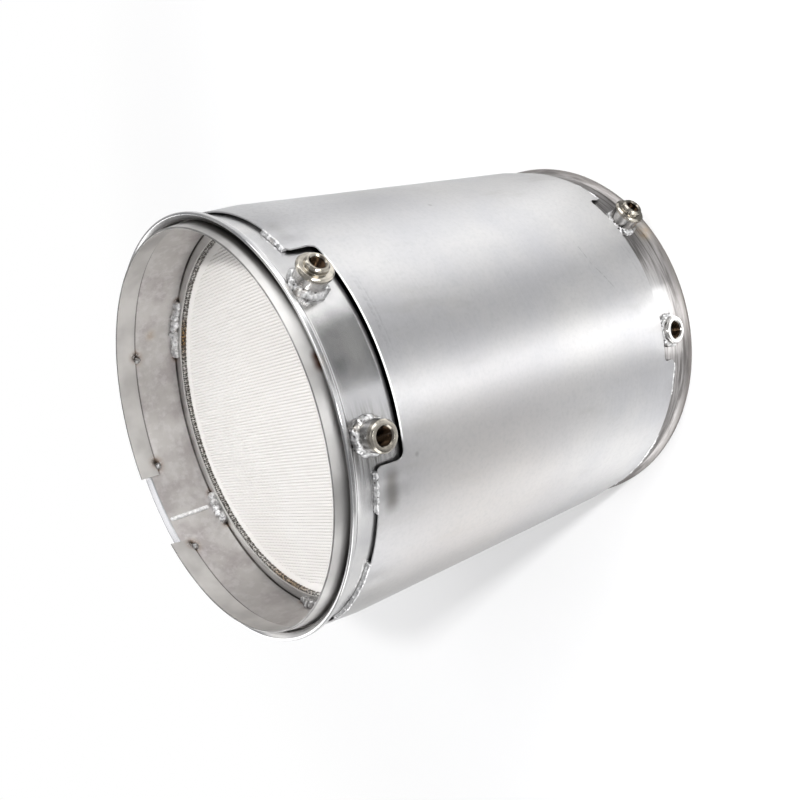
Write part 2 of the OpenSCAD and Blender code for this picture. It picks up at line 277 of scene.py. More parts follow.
def make_shield_steel():
    """Sheet brushed round the axis: a painted highlight on one side, warm on the other, and a painted
    highlight where it is cut.
    """
    f = finish("brushed_shield_steel")
    lines = f.grain(1.0, 3.0, 0.65, (9.0, 9.0, 1500.0))
    fine = f.grain(1.0, 2.0, 0.7, (30.0, 30.0, 5200.0), (3.0, 1.0, 0.0))
    cloud = f.grain(11.0, 4.0, 0.6)
    smear = f.grain(1.0, 3.0, 0.6, (45.0, 45.0, 12.0), (7.0, 2.0, 5.0))
    colour = f.mix(cloud.clip(0.3, 0.7), (0.455, 0.455, 0.47), (0.525, 0.52, 0.515))
    colour = f.mix((lines + fine).clip(0.55, 1.45) * 0.35, colour, (0.60, 0.60, 0.605))
    colour = f.mix(smear.clip(0.58, 0.8) * 0.35, colour, (0.38, 0.365, 0.35))
    # Painted highlight: the upper front of the sheet is made paler
    pale = f.near(on_shield(-8.0, 325.0), 95.0)
    colour = f.mix(pale * 0.8, colour, (0.74, 0.74, 0.75))
    warm = f.near(on_shield(-122.0, 250.0), 150.0)
    colour = f.mix(warm * (smear * 0.5 + 0.35), colour, (0.53, 0.507, 0.488))
    colour = shield_marks(f, colour)
    # Painted highlight: a white, less metallic line along the notch's cut edge
    notch = f.near(polar(163.0, NOTCH_MIDDLE, 335.0), 77.0).clip(0.02, 0.1)
    cut = f.height().at(NOTCH_LINE, 0.9) * notch
    colour = f.mix(cut, colour, (0.95, 0.95, 0.95))
    # Weld fume marks and painted shade of the dents by the notch
    colour = shield_fume_and_dent_shade(f, colour)
    rough = lines * 0.10 + smear * 0.10 + 0.46
    height = lines * 0.6 + fine * 0.4
    return f.close(colour, rough, f.bump(height, 0.25, 0.02), Metallic=1 - cut * 0.8, Anisotropic=0.85,
                   Anisotropic_Rotation=0.25)


def band_wall(f, cloud, streak, rear):
    """Outer wall: polished at the inlet, dull and streaked at the outlet but for one patch kept light as a
    painted highlight.
    """
    wall = f.mix(cloud.clip(0.3, 0.7), (0.44, 0.44, 0.45), (0.60, 0.595, 0.59))
    dull = f.mix(streak, (0.17, 0.16, 0.155), (0.42, 0.405, 0.40))
    # Painted highlight: the outlet's wall is kept light where a glare falls on it
    bright = f.near(polar(BAND_OUT, -79.0, 34.0), 34.0) * f.height().over(12.0, 18.0)
    return f.mix(rear * (0.95 - bright * 0.8), wall, dull)


def band_bore(f, cloud, stain):
    """Bore: satin, with clouds and pale stains, and painted shade on one side."""
    bore = f.mix(cloud.clip(0.3, 0.7), (0.55, 0.535, 0.52), (0.63, 0.615, 0.60))
    patch = f.grain(38.0, 4.0, 0.6, shift=(6.0, 2.0, 1.0)).clip(0.42, 0.68)
    bore = f.mix(patch * 0.75, bore, (0.43, 0.395, 0.40))
    bore = f.mix(stain.clip(0.45, 0.7) * 0.45, bore, (0.78, 0.765, 0.77))
    # Painted shade on one side of the bore
    return f.mix(f.near(polar(BAND_IN, 168.0, 345.0), 75.0) * 0.4, bore, (0.33, 0.32, 0.32))


def band_soot_and_shade(f, colour, inside):
    """Painted shade in the joints with the strip and the rings, and soot at the tacks. In the strip's gap
    the crest is left out of the joint shade and painted grey as shade instead.
    """
    radius, height = f.radius(), f.height()
    patchiness = joint_patchiness(f)
    covered = 1 - f.near(polar(BAND_IN, STRIP_FROM - STRIP_OPEN / 2, 372.0), 42.0).clip(0.05, 0.2)
    # Painted shade: the crest in the strip's gap is made grey
    gap_crest_shade = (1 - covered) * height.over(STRIP_JOINT - 1.4, STRIP_JOINT)
    colour = f.mix(gap_crest_shade, colour, (0.40, 0.40, 0.41))
    # Painted shade in the groove between the strip and the crest
    groove = height.over(STRIP_JOINT - 0.6, STRIP_JOINT + 0.4) * radius.at(158.4, 1.6)
    colour = f.mix(groove * covered * joint_shade_weight(f, patchiness), colour, JOINT_SHADE)
    # Painted shade in the inner corners by the rings and under the strip's foot
    corner = height.at(RING_TOP + 0.4, 1.2) + height.at(SPAN - RING_TOP - 0.4, 1.2)
    corner = (corner + height.at(STRIP_LOW - 0.6, 1.7) * covered * 0.75) * inside
    colour = f.mix(corner * (patchiness * 0.4 + 0.55), colour, SOOT_AND_SHADE)
    for pits, reach in ((TACK_PITS, 6.5), (TACK_EDGES, 5.5), (RING_PITS, 4.0)):
        colour = soot(f, colour, pits, reach, inside)
    return colour


def make_band_steel():
    """Polished sheet with a painted highlight on the inlet crest, a dark outlet rim and a painted shadow
    under the shield's lip.
    """
    f = finish("polished_band_steel")
    lines = f.grain(1.0, 3.0, 0.6, (14.0, 14.0, 1900.0))
    cloud = f.grain(26.0, 3.0, 0.5)
    stain = f.grain(120.0, 4.0, 0.65, shift=(2.0, 0.0, 4.0))
    streak = f.grain(1.0, 4.0, 0.6, (30.0, 30.0, 420.0), (3.0, 3.0, 3.0)).clip(0.35, 0.65)
    height = f.height()
    inside = 1 - f.radius().over(158.2, 158.5)
    rear = 1 - height.over(60.0, 90.0)
    colour = f.mix(inside, band_wall(f, cloud, streak, rear), band_bore(f, cloud, stain))
    colour = f.mix(stain.clip(0.58, 0.75) * 0.2, colour, (0.42, 0.40, 0.38))
    colour = heat_tint(f, colour, [
        (polar(BAND_IN, 60.5, 353.2), 8.0, 0.35),
        (polar(160.5, -72.0, 379.0), 7.0, 0.9),
        (polar(162.0, -57.5, 9.0), 12.0, 0.6)])
    # Painted highlight along the inlet crest
    crest = height.over(STRIP_JOINT - 4.0, STRIP_JOINT) * (1 - inside)
    colour = f.mix(crest * f.near(polar(161.0, -60.0, 377.0), 80.0) * 0.8, colour, (0.78, 0.78, 0.79))
    edge = (1 - height.over(0.8, 9.0)) * (1 - inside)
    colour = f.mix(edge * (streak * 0.3 + 0.6), colour, (0.115, 0.10, 0.09))
    # Painted shadow: near black on the wall just under the shield's lip
    under = (1 - height.over(NOTCH_LINE - 0.3, NOTCH_LINE + 1.3)) * (1 - rear) * (1 - inside)
    colour = f.mix(under, colour, (0.012, 0.012, 0.012))
    colour = band_soot_and_shade(f, colour, inside)
    # The band is made darker, in streaks, round the bosses
    brushed = f.near(polar(BAND_OUT, PRESS_ANGLE, BOSS_IN_Z), 21.0)
    brushed = brushed + f.near(polar(BAND_OUT, TEMP_IN_ANGLE - 2.0, BOSS_IN_Z), 36.0) * 1.25
    colour = f.mix(brushed * (streak * 0.6 + 0.25), colour, (0.14, 0.135, 0.13))
    rough = cloud * 0.12 + lines * 0.10 + inside * 0.20 + rear * 0.16 + 0.12
    return f.close(colour, rough, f.bump(lines + streak, 0.2, 0.02), Metallic=1 - edge * 0.5,
                   Anisotropic=0.4, Anisotropic_Rotation=0.25)


def make_strip_steel():
    """Satin sheet, with painted shade on its outside at its foot and in patches, a dark top edge and one
    burn mark.
    """
    f = finish("satin_strip_steel")
    lines = f.grain(1.0, 3.0, 0.6, (12.0, 12.0, 1500.0))
    cloud = f.grain(30.0, 3.0, 0.5)
    colour = f.mix(cloud.clip(0.3, 0.7), (0.56, 0.55, 0.54), (0.74, 0.73, 0.715))
    slope = STRIP_TAPER / (STRIP_HIGH - STRIP_LOW)
    flat_r = STRIP_OUT + slope * STRIP_LOW
    outside = (f.radius() + f.height() * slope).over(flat_r - 1.0, flat_r - 0.6)
    patchiness = joint_patchiness(f)
    # Painted shade in patches on the strip's outside
    shade = patchiness * 0.2
    for turn, reach, depth in ((-105.0, 34.0, 0.8), (-84.0, 40.0, 0.8), (-122.0, 42.0, 0.7)):
        shade = shade + f.near(polar(156.0, turn, 380.0), reach) * depth
    colour = f.mix(outside * shade, colour, (0.30, 0.295, 0.29))
    # Painted shade at the foot of the outside, by the crest
    low = 1 - f.height().over(STRIP_JOINT - 0.2, STRIP_JOINT + 2.4)
    colour = f.mix(outside * low * joint_shade_weight(f, patchiness), colour, JOINT_SHADE)
    # Painted shade low on the outside towards one side, next to the crest
    top = 1 - f.height().over(STRIP_JOINT + 3.0, STRIP_JOINT + 6.5)
    top = top * f.near(polar(157.0, -32.0, 378.0), 90.0)
    colour = f.mix(outside * top * 0.9, colour, (0.07, 0.065, 0.06))
    for turn in (-70.3, -72.3):
        burn = outside * f.near(polar(156.8, turn, 375.4), 7.0)
        colour = f.mix(burn, colour, (0.10, 0.045, 0.03))
    rim = f.height().over(STRIP_HIGH - 0.6, STRIP_HIGH - 0.1)
    colour = f.mix(rim * (patchiness * 0.3 + 0.55), colour, (0.12, 0.115, 0.11))
    colour = soot(f, colour, TACK_EDGES, 5.5)
    rough = cloud * 0.12 + lines * 0.1 + 0.34
    return f.close(colour, rough, f.bump(lines, 0.15, 0.02), Metallic=1.0, Anisotropic=0.5,
                   Anisotropic_Rotation=0.25)


def make_ring_steel():
    f = finish("rolled_ring_steel")
    cloud = f.grain(60.0, 4.0, 0.6)
    speck = f.grain(700.0, 2.0, 0.5)
    colour = f.mix(cloud.clip(0.3, 0.7), (0.60, 0.59, 0.575), (0.72, 0.71, 0.695))
    # Painted shade along the outer edge, in the gap to the band's wall
    colour = f.mix(f.radius().at(RING_OUT, 0.7) * 0.8, colour, SOOT_AND_SHADE)
    colour = soot(f, colour, RING_PITS, 2.6)
    rough = cloud * 0.2 + speck * 0.1 + 0.28
    return f.close(colour, rough, f.bump(speck, 0.1, 0.05), Metallic=1.0)


def make_weld_steel(name, pitted, pale, metal, worst=None):
    """Bead steel, pitted all over or, where worst gives a (centre, reach), mostly there."""
    f = finish(name)
    lump = f.grain(420.0, 3.0, 0.6)
    pits = f.grain(300.0, 3.0, 0.6, shift=(5.0, 1.0, 2.0)).clip(0.54, 0.68) * pitted
    straw = f.grain(90.0, 3.0, 0.6, shift=(1.0, 6.0, 2.0)).clip(0.55, 0.75)
    colour = f.mix(lump.clip(0.35, 0.65), (pale - 0.26, pale - 0.26, pale - 0.255), (pale, pale, pale))
    colour = f.mix(straw * 0.45 * pitted, colour, (0.50, 0.42, 0.33))
    burnt = f.spots([polar(156.4, turn - 0.5, STRIP_LOW - 1.0) for turn in STRIP_TACKS], 6.0)
    colour = f.mix(burnt * f.grain(700.0, 2.0, 0.6).clip(0.36, 0.5), colour, SOOT_AND_SHADE)
    colour = f.mix(f.near(polar(155.5, 180.0, 329.0), 20.0) * 0.75, colour, (0.20, 0.195, 0.19))
    if worst is not None:
        pits = pits * (f.near(*worst) + 0.15)
    colour = f.mix(pits, colour, (0.07, 0.065, 0.06))
    rough = pits * 0.4 + lump * 0.25 + 0.24
    return f.close(colour, rough, f.bump(lump - pits, 0.25, 0.25), Metallic=metal)


def make_boss_steel():
    f = finish("turned_boss_steel")
    tool = f.grain(1100.0, 2.0, 0.5)
    cloud = f.grain(120.0, 3.0, 0.6)
    bore = f.node("Attribute", {"attribute_name": "bore"}, out="Fac")
    body = f.mix(cloud.clip(0.35, 0.7), (0.44, 0.43, 0.42), (0.60, 0.59, 0.575))
    rim = f.mix(cloud.clip(0.35, 0.7), (0.29, 0.27, 0.235), (0.47, 0.44, 0.385))
    colour = f.mix(f.radius().over(171.0, 173.0), body, rim)
    # Painted shade: the bore and the lip of its mouth are made near black
    colour = f.mix(bore, colour, (0.035, 0.022, 0.013))
    rough = cloud * 0.12 + tool * 0.08 + 0.09
    return f.close(colour, rough, f.bump(tool, 0.06, 0.03), Metallic=1.0)


def make_knit_wire():
    f = finish("knitted_wire")
    speck = f.grain(520.0, 2.0, 0.6)
    cloud = f.grain(70.0, 3.0, 0.6, shift=(2.0, 4.0, 1.0))
    colour = f.mix(speck.clip(0.42, 0.56), (0.20, 0.185, 0.17), (0.88, 0.86, 0.83))
    burnt = f.near(polar(148.5, 62.0, 326.0), 26.0) + f.near(polar(148.5, 166.0, 326.0), 40.0) * 0.7
    gold = f.mix(speck.clip(0.44, 0.58), (0.05, 0.035, 0.025), (0.62, 0.38, 0.15))
    colour = f.mix(burnt * cloud.clip(0.25, 0.5), colour, gold)
    return f.close(colour, speck * 0.2 + 0.35, Metallic=0.8)


def make_seal_core():
    f = finish("packed_seal_core")
    speck = f.grain(800.0, 3.0, 0.7)
    # Painted shade: the core stands for the dark depths of the mesh between the loops
    colour = f.mix(speck.clip(0.4, 0.7), (0.05, 0.047, 0.042), (0.24, 0.22, 0.20))
    return f.close(colour, 0.7, f.bump(speck, 0.5, 0.3), Metallic=0.6)


def make_ceramic():
    f = finish("fired_ceramic")
    cloud = f.grain(14.0, 4.0, 0.6)
    dust = f.grain(900.0, 2.0, 0.6)
    colour = f.mix(cloud.clip(0.3, 0.7), (0.87, 0.845, 0.82), (0.90, 0.88, 0.86))
    colour = f.mix(dust.clip(0.55, 0.75) * 0.25, colour, (0.78, 0.75, 0.72))
    height = f.height()
    face = height.over(BRICK_HIGH - 1.4, BRICK_HIGH - 0.1)
    face = face + 1 - height.over(BRICK_LOW + 0.1, BRICK_LOW + 1.4)
    # Painted shade: the cells' walls and floors below the face are made darker
    colour = f.mix(face, (0.36, 0.335, 0.31), colour)
    return f.close(colour, 0.85, f.bump(dust, 0.2, 0.05), Metallic=0.0)


def make_fibre(name, pale, deep):
    f = finish(name)
    strands = f.grain(1.0, 4.0, 0.7, (900.0, 900.0, 160.0))
    cloud = f.grain(60.0, 3.0, 0.6)
    colour = f.mix((strands + cloud).clip(0.6, 1.4), deep, pale)
    return f.close(colour, 0.95, f.bump(strands, 0.6, 0.4), Metallic=0.0, Sheen_Weight=0.2)


def make_can_steel():
    f = finish("mill_can_steel")
    cloud = f.grain(30.0, 4.0, 0.6)
    colour = f.mix(cloud.clip(0.3, 0.7), (0.46, 0.455, 0.45), (0.58, 0.575, 0.57))
    return f.close(colour, cloud * 0.2 + 0.3, Metallic=1.0)


SHIELD_STEEL = make_shield_steel()
BAND_STEEL = make_band_steel()
STRIP_STEEL = make_strip_steel()
RING_STEEL = make_ring_steel()
WELD_STEEL = make_weld_steel("weld_bead_steel", 1.0, 0.68, 1.0)
STITCH_STEEL = make_weld_steel("stitch_bead_steel", 0.9, 0.72, 1.0, (polar(162.0, -104.0, 352.0), 36.0))
RING_BEAD_STEEL = make_weld_steel("ring_bead_steel", 0.5, 0.86, 1.0)
SEAM_STEEL = make_weld_steel("seam_bead_steel", 0.1, 0.90, 0.4)
BOSS_STEEL = make_boss_steel()
KNIT_WIRE = make_knit_wire()
SEAL_CORE = make_seal_core()
CERAMIC = make_ceramic()
MAT_FIBRE = make_fibre("mat_fibre", (0.80, 0.77, 0.70), (0.62, 0.58, 0.50))
BLANKET_FIBRE = make_fibre("blanket_fibre", (0.84, 0.82, 0.76), (0.66, 0.63, 0.56))
CAN_STEEL = make_can_steel()


# Mesh helpers


def settle(bm, name, material, crease=35.0, outward=True):
    """Makes a finished object at the origin from a bmesh in metres, smooth but for its creases."""
    if outward:
        bmesh.ops.recalc_face_normals(bm, faces=bm.faces)
    limit = math.radians(crease)
    for face in bm.faces:
        face.smooth = True
    for edge in bm.edges:
        edge.smooth = len(edge.link_faces) == 2 and edge.calc_face_angle(0.0) < limit
    mesh = bpy.data.meshes.new(name)
    bm.to_mesh(mesh)
    bm.free()
    mesh.materials.append(material)
    piece = bpy.data.objects.new(name, mesh)
    scene.collection.objects.link(piece)
    return piece


def stand_in(piece, slot, *cad_nodes):
    """A finished piece rides on the part and takes the place of its solids."""
    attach(piece, "root")
    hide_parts(*cad_nodes)
    return piece


def plain_mesh(piece):
    """Bakes a piece's modifiers into its mesh."""
    graph = bpy.context.evaluated_depsgraph_get()
    old = piece.data
    made = bpy.data.meshes.new_from_object(piece.evaluated_get(graph), depsgraph=graph)
    piece.modifiers.clear()
    piece.data = made
    made.name = piece.name
    bpy.data.meshes.remove(old)
    return piece


def ring_bmesh(angles, section, closed=True):
    """Sweeps a closed section of (radius, height) round the axis; section(angle) may change."""
    bm = bmesh.new()
    loops = []
    for angle in angles:
        c, s = math.cos(math.radians(angle)), math.sin(math.radians(angle))
        loops.append([bm.verts.new((r * c * MM, r * s * MM, z * MM)) for r, z in section(angle)])
    count = len(angles)
    for i in range(count if closed else count - 1):
        here, there = loops[i], loops[(i + 1) % count]
        for k in range(len(here)):
            n = (k + 1) % len(here)
            bm.faces.new((here[k], there[k], there[n], here[n]))
    if not closed:
        bm.faces.new(loops[0])
        bm.faces.new(list(reversed(loops[-1])))
    return bm


def rounded(corners, steps=4):
    """Rounds a closed outline: corners are (r, z, radius)."""
    outline = []
    for i, (x, y, radius) in enumerate(corners):
        here = Vector((x, y))
        if radius <= 0.0:
            outline.append((x, y))
            continue
        before = Vector(corners[i - 1][:2]) - here
        after = Vector(corners[(i + 1) % len(corners)][:2]) - here
        half_angle = before.angle(after) / 2
        reach = min(radius / math.tan(half_angle), 0.48 * before.length, 0.48 * after.length)
        start, end = here + before.normalized() * reach, here + after.normalized() * reach
        for k in range(steps + 1):
            t = k / steps
            point = start * (1 - t) ** 2 + here * 2 * t * (1 - t) + end * t ** 2
            outline.append((point.x, point.y))
    return outline


def wave(angle, height, across, along, seed):
    """Smooth waviness from 0 to 1 on a tube of sheet; across and along are wavelengths in mm."""
    x, y, _ = polar(BAND_OUT / across, angle, 0.0)
    return 0.5 + 0.5 * noise.noise(Vector((x + seed, y - seed, height / along + seed)))


def turns(step):
    count = round(360 / step)
    return [i * 360 / count for i in range(count)]


# Heat shield: a rolled sheet with drawn-down ends and a notch for the bosses at each end

NOTCH_LIP = 4.0
SHEET_EDGE = 0.25
SHIELD_CREASES = (324.5, 50.5)
# Dents by the welds: angle, height, half width, half height and depth in millimetres
DENTS = [(-104.1, 347.0, 5.5, 13.0, 0.9), (-36.0, 349.0, 7.0, 12.0, 0.6), (-132.0, 350.0, 9.0, 12.0, 0.7),
         (-166.0, 350.0, 9.0, 12.0, 0.6), (-105.0, 32.0, 6.0, 12.0, 0.7), (-133.0, 32.0, 9.0, 12.0, 0.6)]


def angle_in(angle, start, end):
    """How many degrees an angle lies inside a range, negative outside it."""
    angle = (angle + 180.0) % 360.0 - 180.0
    return min(angle - start, end - angle)


def notch_depth(angle, depth):
    """How far a shield end is cut back at an angle: sharp in the notch, rounded at its four corners."""
    inside = math.radians(angle_in(angle, NOTCH_FROM, NOTCH_TO)) * SHIELD_OUT
    if inside <= -NOTCH_LIP:
        return 0.0
    if inside <= 0.0:
        return NOTCH_LIP - math.sqrt(NOTCH_LIP ** 2 - (inside + NOTCH_LIP) ** 2)
    if inside < NOTCH_R:
        return depth - NOTCH_R + math.sqrt(NOTCH_R ** 2 - (NOTCH_R - inside) ** 2)
    return depth


def shield_radius(angle, z):
    """Outer radius of the shield: drawn down at its ends, a little wavy and dented by the welds."""
    drawn = max(0.0, (z - (SHIELD_HIGH - SHIELD_DRAW)) / SHIELD_DRAW,
                (SHIELD_LOW + SHIELD_DRAW - z) / SHIELD_DRAW)
    end = min(1.0, drawn * 1.2)
    low = 0.05 * wave(angle, z, 60.0, 120.0, 3.0) + 0.22 * end * wave(angle, z, 16.0, 22.0, 9.0)
    bend = min(angle_in(angle, NOTCH_FROM - 2.0, NOTCH_TO - 5.0) / 5.0, 1.0)
    for line in SHIELD_CREASES:
        low += 0.14 * max(0.0, bend) * math.exp(-((z - line) / 1.3) ** 2)
    for at, height, wide, tall, depth in DENTS:
        turn = math.radians((angle - at + 180.0) % 360.0 - 180.0) * SHIELD_OUT
        low += depth * math.exp(-(turn / wide) ** 2 - ((z - height) / tall) ** 2)
    return SHIELD_OUT - SHIELD_DROP * drawn - low


def shield_section(angle):
    high = SHIELD_HIGH - notch_depth(angle, NOTCH_IN_DEPTH)
    low = SHIELD_LOW + notch_depth(angle, NOTCH_OUT_DEPTH)
    rows = [low + SHEET_EDGE + (62.0 - low) * (i / 11) ** 1.2 for i in range(11)]
    rows += list(np.arange(64.0, 312.0, 6.0))
    rows += [high - SHEET_EDGE - (high - 314.0) * (i / 11) ** 1.2 for i in range(11, -1, -1)]
    outer = [(shield_radius(angle, z), z) for z in rows]
    lip = [(outer[-1][0] - SHEET_EDGE, high), (outer[-1][0] - SHIELD_T + SHEET_EDGE, high)]
    foot = [(outer[0][0] - SHIELD_T + SHEET_EDGE, low), (outer[0][0] - SHEET_EDGE, low)]
    inner = [(r - SHIELD_T, z) for r, z in reversed(outer)]
    return outer + lip + inner + foot


def shield_angles():
    angles = set(turns(0.8))
    per_mm = math.degrees(1 / SHIELD_OUT)
    for side, way in ((NOTCH_FROM, 1), (NOTCH_TO, -1)):
        for step in (-4.0, -3.9, -3.6, -3.1, -2.4, -1.6, -0.8, -0.3, -0.02, 0.02, 0.1, 0.3, 0.7, 1.2,
                     2.0, 3.0, 4.0, 5.0, 6.0):
            angles.add((side + way * step * per_mm) % 360.0)
    return sorted(angles)


shield = settle(ring_bmesh(shield_angles(), shield_section), "heat_shield_sheet", SHIELD_STEEL)
stand_in(shield, "shield", "heat_shield")


# End bands: polished sheet with a rolled V-clamp flange and drilled for the bosses


def band_outline():
    """Half section of a band, its flange face at height 0, with rows enough to carry the waviness."""
    flange = rounded([
        (BAND_IN, DISH_H + DISH_CORNER, 1.2),
        (BAND_IN + DISH_CORNER, DISH_H, 0.8),
        (CREST_R - CREST_BREAK - LAND_W, 0.0, 1.0),
        (CREST_R - CREST_BREAK, 0.0, 0.8),
        (CREST_R, CREST_BREAK, 0.8),
        (CREST_R, CREST_W, 0.9),
        (BAND_OUT, CREST_W + CREST_SLOPE, 2.0),
        (BAND_OUT, BAND_LEN, 0.3),
        (BAND_IN, BAND_LEN, 0.3)])
    heights = list(np.arange(11.0, 60.0, 2.5)) + [66.0, 74.0, 82.0]
    split = next(i for i, p in enumerate(flange) if p[1] > 60.0)
    outside = [(BAND_OUT, z) for z in heights]
    inside = [(BAND_IN, z) for z in reversed(heights)]
    return flange[:split] + outside + flange[split:] + inside


def band_piece(name, node, at_inlet, seed, holes):
    outline = band_outline()

    def section(angle):
        points = []
        for r, z in outline:
            loose = min(1.0, max(0.0, (z - 7.0) / 8.0))
            height = SPAN - z if at_inlet else z
            dip = loose * 0.36 * wave(angle, height, 13.0, 17.0, seed)
            dip += loose * 0.2 * wave(angle, height, 40.0, 60.0, seed)
            dip += 0.06 * wave(angle, height, 30.0, 30.0, seed + 5.0)
            points.append((r - dip, height))
        return points

    piece = settle(ring_bmesh(turns(1.0), section), name, BAND_STEEL)
    for angle, height, bore in holes:
        cutter_bm = bmesh.new()
        hole_r = (bore + HOLE_PLAY) / 2 * MM
        bmesh.ops.create_cone(cutter_bm, cap_ends=True, segments=48, radius1=hole_r, radius2=hole_r,
                              depth=20 * MM)
        turn = Matrix.Rotation(math.radians(angle), 4, "Z") @ Matrix.Rotation(math.pi / 2, 4, "Y")
        bmesh.ops.transform(cutter_bm, verts=cutter_bm.verts,
                            matrix=Matrix.Translation(Vector(polar(BAND_IN, angle, height)) * MM) @ turn)
        cutter = settle(cutter_bm, name + "_drill", BAND_STEEL)
        drill = piece.modifiers.new("drill", "BOOLEAN")
        drill.object, drill.operation, drill.solver = cutter, "DIFFERENCE", "EXACT"
        plain_mesh(piece)
        bpy.data.objects.remove(cutter)
    return stand_in(piece, "band", node)


band_piece("inlet_band_sheet", "inlet_flange_band", True, 2.0,
           [(TEMP_IN_ANGLE, BOSS_IN_Z, TEMP_IN_BORE), (PRESS_ANGLE, BOSS_IN_Z, PRESS_BORE)])
band_piece("outlet_band_sheet", "outlet_flange_band", False, 6.0,
           [(TEMP_OUT_ANGLE, BOSS_OUT_Z, TEMP_OUT_BORE), (PRESS_ANGLE, BOSS_OUT_Z, PRESS_BORE)])


# Pilot strip: a split, tapered guide inside the inlet flange


def strip_section(angle):
    heights = np.linspace(STRIP_LOW + 0.3, STRIP_HIGH - 0.3, 9)
    taper = STRIP_TAPER / (STRIP_HIGH - STRIP_LOW)

    def radius(z):
        return STRIP_OUT - (z - STRIP_LOW) * taper - 0.18 * wave(angle, z, 22.0, 30.0, 4.0)

    outer = [(radius(z), z) for z in heights]
    inner = [(r - STRIP_T, z) for r, z in reversed(outer)]
    top, foot = outer[-1][0], outer[0][0]
    return (outer + [(top - 0.35, STRIP_HIGH), (top - STRIP_T + 0.35, STRIP_HIGH)] + inner
            + [(foot - STRIP_T + 0.35, STRIP_LOW), (foot - 0.35, STRIP_LOW)])


strip_angles = list(np.linspace(STRIP_FROM, STRIP_FROM + 360.0 - STRIP_OPEN, 338))
strip = settle(ring_bmesh(strip_angles, strip_section, closed=False), "inlet_pilot_strip_sheet", STRIP_STEEL)
stand_in(strip, "strip", "inlet_pilot_strip")


# Retaining rings


def ring_piece(name, node, at_inlet):
    low = BRICK_LOW - SEAL_T - RING_T
    outline = rounded([(RING_IN, low, 0.4), (RING_OUT, low, 0.4), (RING_OUT, low + RING_T, 0.3),
                       (RING_IN, low + RING_T, 0.3)])

    def section(angle):
        lift = 0.12 * wave(angle, 0.0, 30.0, 30.0, 8.0)
        return [(r, SPAN - z - lift if at_inlet else z + lift) for r, z in outline]

    return stand_in(settle(ring_bmesh(turns(1.0), section), name, RING_STEEL), "ring", node)


ring_piece("inlet_ring_plate", "inlet_retaining_ring", True)
ring_piece("outlet_ring_plate", "outlet_retaining_ring", False)


# Wire-mesh seals: a packed core painted dark as the shade deep in the mesh, under loops of knitted wire,
# made by a geometry tree

KNIT_LOOPS = 240
WIRE_R = 0.32


def new_tree(name, inputs):
    """An empty geometry tree with named inputs (name, socket type)."""
    tree = bpy.data.node_groups.new(name, "GeometryNodeTree")
    tree.interface.new_socket("Geometry", in_out="INPUT", socket_type="NodeSocketGeometry")
    for label, kind in inputs:
        tree.interface.new_socket(label, in_out="INPUT", socket_type=kind)
    tree.interface.new_socket("Geometry", in_out="OUTPUT", socket_type="NodeSocketGeometry")
    return tree


def tree_node(tree, kind, settings=None, links=None):
    """One geometry node: its settings, then the values or links of its sockets."""
    made = tree.nodes.new(kind)
    for key, value in (settings or {}).items():
        setattr(made, key, value)
    for key, value in (links or {}).items():
        if isinstance(value, bpy.types.NodeSocket):
            tree.links.new(value, made.inputs[key])
        else:
            made.inputs[key].default_value = value
    return made


def grow(name, tree, values):
    """Runs a geometry tree on an empty mesh and returns the plain result."""
    piece = bpy.data.objects.new(name, bpy.data.meshes.new(name))
    scene.collection.objects.link(piece)
    modifier = piece.modifiers.new("grow", "NODES")
    modifier.node_group = tree
    for item in tree.interface.items_tree:
        if item.in_out == "INPUT" and item.name in values:
            modifier[item.identifier] = values[item.name]
    return plain_mesh(piece)


def end_tree(tree, geometry, material_socket):
    """Every tree ends in Realize Instances and Set Material."""
    real = tree_node(tree, "GeometryNodeRealizeInstances", None, {"Geometry": geometry})
    painted = tree_node(tree, "GeometryNodeSetMaterial", None,
                        {"Geometry": real.outputs[0], "Material": material_socket})
    tree_node(tree, "NodeGroupOutput", None, {0: painted.outputs[0]})


def ring_of_loops_tree():
    """Stands copies of one wire loop round the axis."""
    tree = new_tree("ring_of_loops", [("Loop", "NodeSocketObject"), ("Count", "NodeSocketInt"),
                                      ("Material", "NodeSocketMaterial")])
    given = tree_node(tree, "NodeGroupInput").outputs
    points = tree_node(tree, "GeometryNodePoints", None, {"Count": given["Count"]})
    index = tree_node(tree, "GeometryNodeInputIndex")
    step = tree_node(tree, "ShaderNodeMath", {"operation": "DIVIDE"},
                     {0: 2 * math.pi, 1: given["Count"]})
    angle = tree_node(tree, "ShaderNodeMath", {"operation": "MULTIPLY"},
                      {0: index.outputs[0], 1: step.outputs[0]})
    spin = tree_node(tree, "ShaderNodeCombineXYZ", None, {"Z": angle.outputs[0]})
    loop = tree_node(tree, "GeometryNodeObjectInfo", None, {"Object": given["Loop"]})
    copies = tree_node(tree, "GeometryNodeInstanceOnPoints", None, {
        "Points": points.outputs[0], "Instance": loop.outputs["Geometry"], "Rotation": spin.outputs[0]})
    end_tree(tree, copies.outputs[0], given["Material"])
    return tree


def seal_surface(s, lift):
    """A point on the seen corner of a seal: s runs up its bore and out over its face."""
    bore = SEAL_T - 0.8
    if s < bore:
        return SEAL_IN - lift + 0.3, s
    bend = min(1.0, (s - bore) / 1.2) * math.pi / 2
    out = max(0.0, s - bore - 1.2)
    radius = SEAL_IN + 1.1 - (0.8 + lift) * math.cos(bend) + out
    return radius, SEAL_T - 0.8 - 0.3 + (0.8 + lift) * math.sin(bend)


